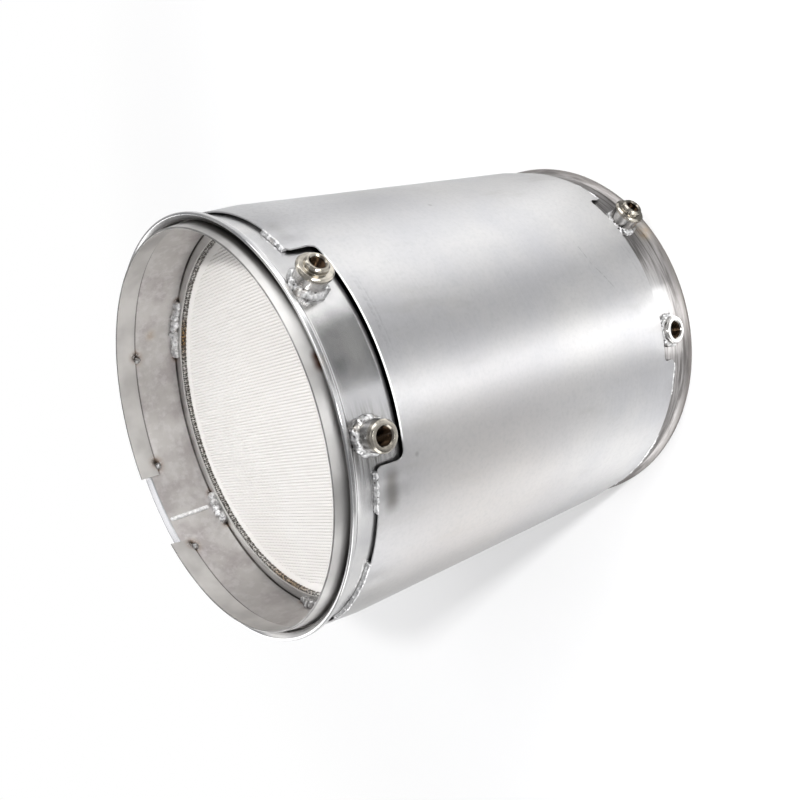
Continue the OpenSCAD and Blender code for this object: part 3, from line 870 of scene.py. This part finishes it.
def wire_loop(name, at_inlet):
    """Two interlaced rows of one knitted stitch, as tubes on the seal's corner."""
    bm = bmesh.new()
    pitch = 360.0 / KNIT_LOOPS
    points, sides = 13, 4
    for row, (centre, phase) in enumerate(((1.7, 0.0), (4.0, 0.5))):
        path = []
        for i in range(points):
            t = 2 * math.pi * i / (points - 1)
            turn = pitch * (t / (2 * math.pi) + 0.22 * math.sin(2 * t) + phase)
            r, up = seal_surface(centre + 1.75 * math.cos(t), 0.1 + 0.2 * math.cos(2 * t + row))
            z = BRICK_HIGH + up if at_inlet else BRICK_LOW - up
            path.append(Vector(polar(r, turn, z)))
        rings = []
        for i, point in enumerate(path):
            run = (path[min(i + 1, points - 1)] - path[max(i - 1, 0)]).normalized()
            side = run.cross(Vector((point.x, point.y, 0.0)).normalized()).normalized()
            top = side.cross(run)
            rings.append([bm.verts.new((point + (side * math.cos(a) + top * math.sin(a)) * WIRE_R) * MM)
                          for a in (k * 2 * math.pi / sides for k in range(sides))])
        for here, there in zip(rings, rings[1:]):
            for k in range(sides):
                bm.faces.new((here[k], here[(k + 1) % sides], there[(k + 1) % sides], there[k]))
    return settle(bm, name, KNIT_WIRE, crease=180.0)


def jitter(piece, amount, size, seed):
    """Moves a mesh's points by smooth noise, in millimetres. Without a seed it would differ each run."""
    noise.seed_set(seed)
    for vert in piece.data.vertices:
        vert.co += noise.noise_vector(vert.co / (size * MM)) * amount * MM


def seal_piece(name, node, at_inlet, tree):
    core = rounded([(SEAL_IN + 0.55, 0.05, 0.0), (SEAL_IN + 0.55, SEAL_T - 0.6, 0.9),
                    (BAND_IN, SEAL_T - 0.6, 0.0), (BAND_IN, 0.05, 0.0)])

    def section(_):
        return [(r, BRICK_HIGH + z if at_inlet else BRICK_LOW - z) for r, z in core]

    packed = settle(ring_bmesh(turns(1.5), section), name + "_core", SEAL_CORE)
    stand_in(packed, "mesh", node)
    loop = wire_loop(name + "_loop", at_inlet)
    knit = grow(name + "_wire", tree, {"Loop": loop, "Count": KNIT_LOOPS, "Material": KNIT_WIRE})
    bpy.data.objects.remove(loop)
    jitter(knit, 0.35, 2.2, 3)
    stand_in(knit, "mesh", node)


loops_tree = ring_of_loops_tree()
seal_piece("inlet_seal", "inlet_mesh_seal", True, loops_tree)
seal_piece("outlet_seal", "outlet_mesh_seal", False, loops_tree)


# Filter brick: a body, and at each end a field of open cells between plugged ones

CELL_PITCH = 2.54
CELL_OPEN = 1.49
CELL_DEPTH = 2.6
ROW_ANGLE = 96.3
FIELD_R = 147.2


def cell_field_tree():
    """Square field of cell tiles, kept inside a circle."""
    tree = new_tree("cell_field", [("Tile", "NodeSocketObject"), ("Across", "NodeSocketInt"),
                                   ("Pitch", "NodeSocketFloat"), ("Radius", "NodeSocketFloat"),
                                   ("Material", "NodeSocketMaterial")])
    given = tree_node(tree, "NodeGroupInput").outputs
    gaps = tree_node(tree, "ShaderNodeMath", {"operation": "SUBTRACT"}, {0: given["Across"], 1: 1.0})
    size = tree_node(tree, "ShaderNodeMath", {"operation": "MULTIPLY"},
                     {0: gaps.outputs[0], 1: given["Pitch"]})
    grid = tree_node(tree, "GeometryNodeMeshGrid", None, {
        "Size X": size.outputs[0], "Size Y": size.outputs[0], "Vertices X": given["Across"],
        "Vertices Y": given["Across"]})
    where = tree_node(tree, "GeometryNodeInputPosition")
    away = tree_node(tree, "ShaderNodeVectorMath", {"operation": "LENGTH"}, {0: where.outputs[0]})
    inside = tree_node(tree, "FunctionNodeCompare", {"data_type": "FLOAT", "operation": "LESS_THAN"},
                       {0: away.outputs["Value"], 1: given["Radius"]})
    tile = tree_node(tree, "GeometryNodeObjectInfo", None, {"Object": given["Tile"]})
    copies = tree_node(tree, "GeometryNodeInstanceOnPoints", None, {
        "Points": grid.outputs["Mesh"], "Selection": inside.outputs[0],
        "Instance": tile.outputs["Geometry"]})
    end_tree(tree, copies.outputs[0], given["Material"])
    return tree


def cell_tile():
    """One plugged square with an open cell in it: its face, the cell's walls and the cell's floor."""
    bm = bmesh.new()
    h, d = CELL_PITCH / 2 * MM, CELL_OPEN / math.sqrt(2) * MM
    corner = [bm.verts.new(p) for p in ((-h, -h, 0), (h, -h, 0), (h, h, 0), (-h, h, 0))]
    rim = [bm.verts.new(p) for p in ((0, -d, 0), (d, 0, 0), (0, d, 0), (-d, 0, 0))]
    deep = [bm.verts.new((v.co.x, v.co.y, -CELL_DEPTH * MM)) for v in rim]
    for i in range(4):
        n = (i + 1) % 4
        bm.faces.new((corner[i], corner[n], rim[i]))
        bm.faces.new((corner[n], rim[n], rim[i]))
        bm.faces.new((rim[i], rim[n], deep[n], deep[i]))
    bm.faces.new(deep)
    return settle(bm, "cell_tile", CERAMIC, outward=False)


def cell_field(name, tree, tile, turn):
    across = 2 * math.ceil(FIELD_R / CELL_PITCH) + 1
    field = grow(name, tree, {"Tile": tile, "Across": across, "Pitch": CELL_PITCH * MM,
                              "Radius": (FIELD_R - CELL_PITCH * 0.7) * MM, "Material": CERAMIC})
    bm = bmesh.new()
    bm.from_mesh(field.data)
    bmesh.ops.remove_doubles(bm, verts=bm.verts, dist=0.02 * MM)
    bmesh.ops.transform(bm, verts=bm.verts, matrix=turn)
    for face in bm.faces:
        face.smooth = False
    bm.to_mesh(field.data)
    bm.free()
    return stand_in(field, "brick", "filter_brick")


def brick_body():
    rim, sink, skin = FIELD_R - 5.0, CELL_DEPTH + 0.6, 0.05
    low, high = BRICK_LOW + skin, BRICK_HIGH - skin
    half = [(0.5, low + sink), (rim, low + sink), (rim, low), (BRICK_R, low), (BRICK_R, high),
            (rim, high), (rim, high - sink), (0.5, high - sink)]
    body = settle(ring_bmesh(turns(2.0), lambda _: half), "brick_body", CERAMIC)
    return stand_in(body, "brick", "filter_brick")


brick_body()
field_tree = cell_field_tree()
tile = cell_tile()
rows = Matrix.Rotation(math.radians(ROW_ANGLE), 4, "Z")
cell_field("brick_inlet_cells", field_tree, tile, Matrix.Translation((0, 0, BRICK_HIGH * MM)) @ rows)
cell_field("brick_outlet_cells", field_tree, tile,
           Matrix.Translation((0, 0, BRICK_LOW * MM)) @ rows @ Matrix.Rotation(math.pi, 4, "X"))
bpy.data.objects.remove(tile)


# Sensor bosses: turned bushes with a cut thread in the bore


def threaded(outer, bore, pitch, depth, low, high):
    """Rows of a bush up its outside and down its thread: radius by turn, height, and how dark it is painted
    as shade.
    """
    rows = [(lambda _, r=r: r, z, 0.55 * max(0.0, 1.0 - (r - bore / 2) / 2.2)) for r, z in outer]
    steps = int((high - low) / (pitch / 6))
    for i in range(steps + 1):
        z = high - (high - low) * i / steps
        fade = min(1.0, (high - z) / pitch)

        def radius(turn, z=z, fade=fade):
            phase = (z / pitch - turn / (2 * math.pi)) % 1.0
            return bore / 2 + depth * fade * min(1.0, max(0.0, 1.25 - abs(phase - 0.5) * 3.0))

        rows.append((radius, z, 1.0))
    return rows


def boss_piece(name, node, angle, height, rows, segments=64):
    """Stands a bush on the band at an angle and height."""
    out = Vector(polar(1.0, angle, 0.0))
    side = Vector(polar(1.0, angle + 90.0, 0.0))
    bm = bmesh.new()
    mark = bm.verts.layers.float.new("bore")
    loops = []
    for radius, along, bore_shade in rows:
        loop = []
        for k in range(segments):
            turn = 2 * math.pi * k / segments
            r = radius(turn)
            point = out * along + side * (r * math.cos(turn)) + Vector((0, 0, height + r * math.sin(turn)))
            loop.append(bm.verts.new(point * MM))
            loop[-1][mark] = bore_shade
        loops.append(loop)
    for i, here in enumerate(loops):
        there = loops[(i + 1) % len(loops)]
        for k in range(segments):
            n = (k + 1) % segments
            bm.faces.new((here[k], here[n], there[n], there[k]))
    return stand_in(settle(bm, name, BOSS_STEEL, crease=30.0), "boss", node)


def bush_outline(steps):
    """Outer rows of a bush from (radius, height over the band, break) steps."""
    corners = [(r, BAND_OUT + h, b) for r, h, b in steps]
    return rounded(corners + [(0.0, BAND_OUT, 0.0)])[:-1]


FOOT = BAND_IN + 0.5 - BAND_OUT


def threaded_boss(name, node, angle, height, steps, tall, bore, depth):
    """A bush from its outer steps, with a sunk mouth and a thread down its bore."""
    mouth = [(bore / 2 + BOSS_SINK, tall, 0.2), (bore / 2, tall - BOSS_SINK, 0.0)]
    outer = bush_outline(steps + mouth)
    rows = threaded(outer, bore, THREAD_PITCH, depth, BAND_OUT + FOOT, BAND_OUT + tall - BOSS_SINK - 0.1)
    return boss_piece(name, node, angle, height, rows)


def temperature_boss(name, node, angle, height, d, tall, bore, depth):
    steps = [(d / 2, FOOT, 0.0), (d / 2, tall - BOSS_BREAK, 0.3), (d / 2 - BOSS_BREAK, tall, 0.3)]
    return threaded_boss(name, node, angle, height, steps, tall, bore, depth)


def pressure_boss(name, node, height):
    steps = [(PRESS_BODY_R, FOOT, 0.0), (PRESS_BODY_R, PRESS_BODY_H, 0.3),
             (PRESS_COLLAR_R, PRESS_BODY_H, 0.3), (PRESS_COLLAR_R, PRESS_COLLAR_H - BOSS_BREAK, 0.3),
             (PRESS_COLLAR_R - BOSS_BREAK, PRESS_COLLAR_H, 0.3), (PRESS_NECK_R, PRESS_COLLAR_H, 0.4),
             (PRESS_NECK_R, PRESS_TALL - BOSS_BREAK, 0.3), (PRESS_NECK_R - BOSS_BREAK, PRESS_TALL, 0.3)]
    return threaded_boss(name, node, PRESS_ANGLE, height, steps, PRESS_TALL, PRESS_BORE, THREAD_DEPTH)


temperature_boss("inlet_temperature_bush", "inlet_temperature_boss", TEMP_IN_ANGLE, BOSS_IN_Z,
                 TEMP_IN_D, TEMP_IN_TALL, TEMP_IN_BORE, THREAD_DEPTH)
temperature_boss("outlet_temperature_bush", "outlet_temperature_boss", TEMP_OUT_ANGLE, BOSS_OUT_Z,
                 TEMP_OUT_D, TEMP_OUT_TALL, TEMP_OUT_BORE, WIDE_THREAD_DEPTH)
pressure_boss("inlet_pressure_bush", "inlet_pressure_boss", BOSS_IN_Z)
pressure_boss("outlet_pressure_bush", "outlet_pressure_boss", BOSS_OUT_Z)


# Welds: the solids' beads melted together, rippled and spattered

VOXEL = 0.45


def end_taper(point):
    """0 at the ends of the ring's tacks, 1 from 5 degrees away."""
    angle = math.degrees(math.atan2(point.y, point.x)) % 360.0
    return min(1.0, min(abs(angle - end) for end in RING_TACK_ENDS) / 5.0)


def weld_piece(node, steel, rounds, swell, ripple, heave, most, seed):
    """Melts a weld node's solids into one lumpy bead, heaved along Z, inside a radius of most."""
    bm = bmesh.new()
    bm.from_mesh(nodes[node].data)
    bmesh.ops.remove_doubles(bm, verts=bm.verts, dist=0.005 * MM)
    piece = settle(bm, node + "_bead", steel, outward=False)
    melt = piece.modifiers.new("melt", "REMESH")
    melt.mode, melt.voxel_size = "VOXEL", VOXEL * MM
    soft = piece.modifiers.new("soft", "SMOOTH")
    soft.factor, soft.iterations = 0.5, rounds
    plain_mesh(piece)
    lift = []
    for vert in piece.data.vertices:
        lump = noise.noise(vert.co / (4.2 * MM) + Vector((seed, seed, 0)))
        curl = noise.noise(vert.co / (1.9 * MM) + Vector((seed, 0, 0)))
        speck = noise.noise(vert.co / (0.8 * MM) + Vector((0, seed, 0)))
        rise = noise.noise(vert.co / (9.0 * MM) + Vector((0, seed, seed))) + 0.35
        push = vert.normal * (swell + ripple * (lump + 0.6 * curl + 0.25 * speck))
        if heave:
            taper = end_taper(vert.co)
            push.z += heave * (rise * taper - 0.9 * (1 - taper)) * max(0.0, vert.normal.z)
        lift.append(push * MM)
    for vert, move in zip(piece.data.vertices, lift):
        vert.co += move
        inward = min(1.0, most * MM / math.hypot(vert.co.x, vert.co.y))
        vert.co.x, vert.co.y = vert.co.x * inward, vert.co.y * inward
    for face in piece.data.polygons:
        face.use_smooth = True
    piece.data.materials.clear()
    piece.data.materials.append(steel)
    return stand_in(piece, "weld", node)


ANYWHERE, IN_BAND = 1000.0, BAND_IN + 0.4

# Node, steel, rounds of smoothing, swell, ripple, heave and largest radius in millimetres
WELDS = [("inlet_temperature_boss_weld", WELD_STEEL, 14, 1.0, 0.9, 0.0, ANYWHERE),
         ("inlet_pressure_boss_weld", WELD_STEEL, 14, 1.0, 0.9, 0.0, ANYWHERE),
         ("outlet_temperature_boss_weld", WELD_STEEL, 10, 0.5, 0.8, 0.0, ANYWHERE),
         ("outlet_pressure_boss_weld", WELD_STEEL, 10, 0.5, 0.8, 0.0, ANYWHERE),
         ("inlet_shield_welds", STITCH_STEEL, 14, 0.4, 0.6, 0.0, ANYWHERE),
         ("outlet_shield_welds", STITCH_STEEL, 14, 0.4, 0.6, 0.0, ANYWHERE),
         ("inlet_ring_welds", RING_BEAD_STEEL, 24, 0.9, 1.6, 2.2, IN_BAND),
         ("outlet_ring_welds", RING_BEAD_STEEL, 24, 0.9, 1.6, 2.2, IN_BAND),
         ("pilot_strip_welds", WELD_STEEL, 6, 0.0, 0.8, 0.0, IN_BAND),
         ("inlet_band_seam", SEAM_STEEL, 3, 0.8, 0.08, 0.0, IN_BAND),
         ("outlet_band_seam", SEAM_STEEL, 3, 0.8, 0.08, 0.0, IN_BAND)]
for number, row in enumerate(WELDS):
    weld_piece(*row, 3.7 * number)


# Solids that keep their own shape

OWN_SHAPE = {"support_mat": MAT_FIBRE, "inner_can": CAN_STEEL, "insulation_blanket": BLANKET_FIBRE}
for node, material in OWN_SHAPE.items():
    nodes[node].data.materials.clear()
    nodes[node].data.materials.append(material)


# Stage: floor, world, lamps and camera


def make_floor():
    f = finish("white_floor")
    ray = f.node("LightPath")
    path = ray.socket.node.outputs
    seen = Wire(f, path["Is Camera Ray"])
    for other in ("Is Glossy Ray", "Is Transmission Ray"):
        seen = seen.math("MAXIMUM", seen, Wire(f, path[other]))
    lit = f.node("BsdfDiffuse", None, {"Color": (0.80, 0.80, 0.80, 1.0)})
    white = f.node("Emission", None, {"Color": (1.0, 1.0, 1.0, 1.0), "Strength": 1.0})
    far = f.radius().clip(0.45, 1.1)
    shown = f.node("MixShader", None, {0: seen * (far * 0.9 + 0.1), 1: lit, 2: white})
    f.node("OutputMaterial", None, {"Surface": shown})
    bm = bmesh.new()
    bmesh.ops.create_circle(bm, cap_ends=True, segments=96, radius=30.0)
    floor = settle(bm, "floor", f.owner, outward=False)


def make_world():
    world = bpy.data.worlds.new("studio")
    scene.world = world
    f = Finish(world)
    way = f.node("TexCoord", out="Generated")
    up = f.node("SeparateXYZ", None, {0: way}, out="Z")
    shade = f.node("ValToRGB", {"stops": [(0.0, (1.0, 1.0, 1.0)), (0.10, (0.8, 0.8, 0.8)),
                                          (0.35, (0.5, 0.5, 0.505)), (1.0, (0.34, 0.34, 0.35))]}, {0: up})
    glow = f.node("Background", None, {"Color": shade, "Strength": 1.0})
    f.node("OutputWorld", None, {"Surface": glow})


AIM = Vector((0.0, 0.0, 0.19))


def soft_box(name, azimuth, elevation, distance, width, height, power):
    """An area lamp that points at the part from an azimuth about +Z and an elevation, in degrees."""
    light = bpy.data.lights.new(name, "AREA")
    light.shape, light.size, light.size_y, light.energy = "RECTANGLE", width, height, power
    body = bpy.data.objects.new(name, light)
    scene.collection.objects.link(body)
    flat = math.cos(math.radians(elevation)) * distance
    way = Vector(polar(flat, azimuth, math.sin(math.radians(elevation)) * distance))
    body.location = AIM + way
    body.rotation_euler = way.to_track_quat("Z", "Y").to_euler()
    body.visible_camera = False


def flag(name, azimuth, near, far, wide, tone):
    """A card on the floor that only the metal mirrors: dark, or bright where its tone is over 1."""
    f = finish(name + "_card")
    glow = f.node("Emission", None, {"Color": (tone, tone, tone, 1.0)})
    f.node("OutputMaterial", None, {"Surface": glow})
    bm = bmesh.new()
    bmesh.ops.create_grid(bm, x_segments=1, y_segments=1, size=0.5)
    bmesh.ops.scale(bm, verts=bm.verts, vec=(far - near, wide, 1.0))
    out = Matrix.Translation(((near + far) / 2, 0.0, 0.002))
    bmesh.ops.transform(bm, verts=bm.verts, matrix=Matrix.Rotation(math.radians(azimuth), 4, "Z") @ out)
    card = settle(bm, name, f.owner, outward=False)
    card.visible_camera = card.visible_diffuse = card.visible_shadow = False


def make_camera():
    data = bpy.data.cameras.new("camera")
    data.sensor_width, data.lens = 36.0, 40.573
    data.clip_start, data.clip_end = 0.01, 100.0
    camera = bpy.data.objects.new("camera", data)
    scene.collection.objects.link(camera)
    right, up = Vector((-0.18290, -0.63217, -0.75293)), Vector((0.97174, 0.0, -0.23605))
    back = Vector((0.14922, -0.77483, 0.61431))
    camera.matrix_world = Matrix.Translation((0.10012, -0.61080, 0.68592)) @ Matrix(
        (right, up, back)).transposed().to_4x4()
    scene.camera = camera


# Cards: azimuth, near edge, far edge and width in metres, tone
FLAGS = [("front_flag", -60.0, 0.5, 0.9, 0.4, 0.18),
         ("rear_glint", -87.0, 0.165, 0.3, 0.07, 3.0),
         ("top_glint", -30.0, 0.27, 0.75, 0.3, 1.8),
         ("side_glint", -131.0, 0.2, 0.58, 0.2, 2.0),
         ("strip_flag", -82.0, 1.45, 2.4, 2.4, 0.45),
         ("strip_shade", 13.0, 1.0, 1.6, 0.4, 0.2),
         ("strip_glint", -27.0, 1.1, 1.8, 0.5, 1.7),
         ("side_flag", -119.0, 0.62, 0.95, 0.44, 0.16),
         ("rear_shade", -45.0, 0.165, 0.25, 0.12, 0.35),
         ("brow_glint", 33.0, 0.25, 0.6, 0.5, 1.8)]

# Lamps: azimuth, elevation, distance, width and height in metres, power in watts
SOFT_BOXES = [("overhead", -25.0, 66.0, 2.2, 1.2, 1.2, 9.0),
              ("key", -63.0, 45.0, 2.0, 0.12, 0.12, 24.0),
              ("top_box", -18.0, 22.0, 1.5, 1.2, 0.9, 12.0),
              ("front_strip", -88.0, 12.0, 1.6, 0.14, 0.9, 10.0),
              ("side_box", -158.0, 14.0, 1.5, 1.0, 0.9, 9.0),
              ("back_box", 115.0, 28.0, 1.6, 1.2, 0.6, 6.0)]

make_floor()
make_world()
for row in FLAGS:
    flag(*row)
for row in SOFT_BOXES:
    soft_box(*row)
bpy.data.objects["key"].visible_glossy = False
make_camera()
scene.view_settings.view_transform = "Standard"
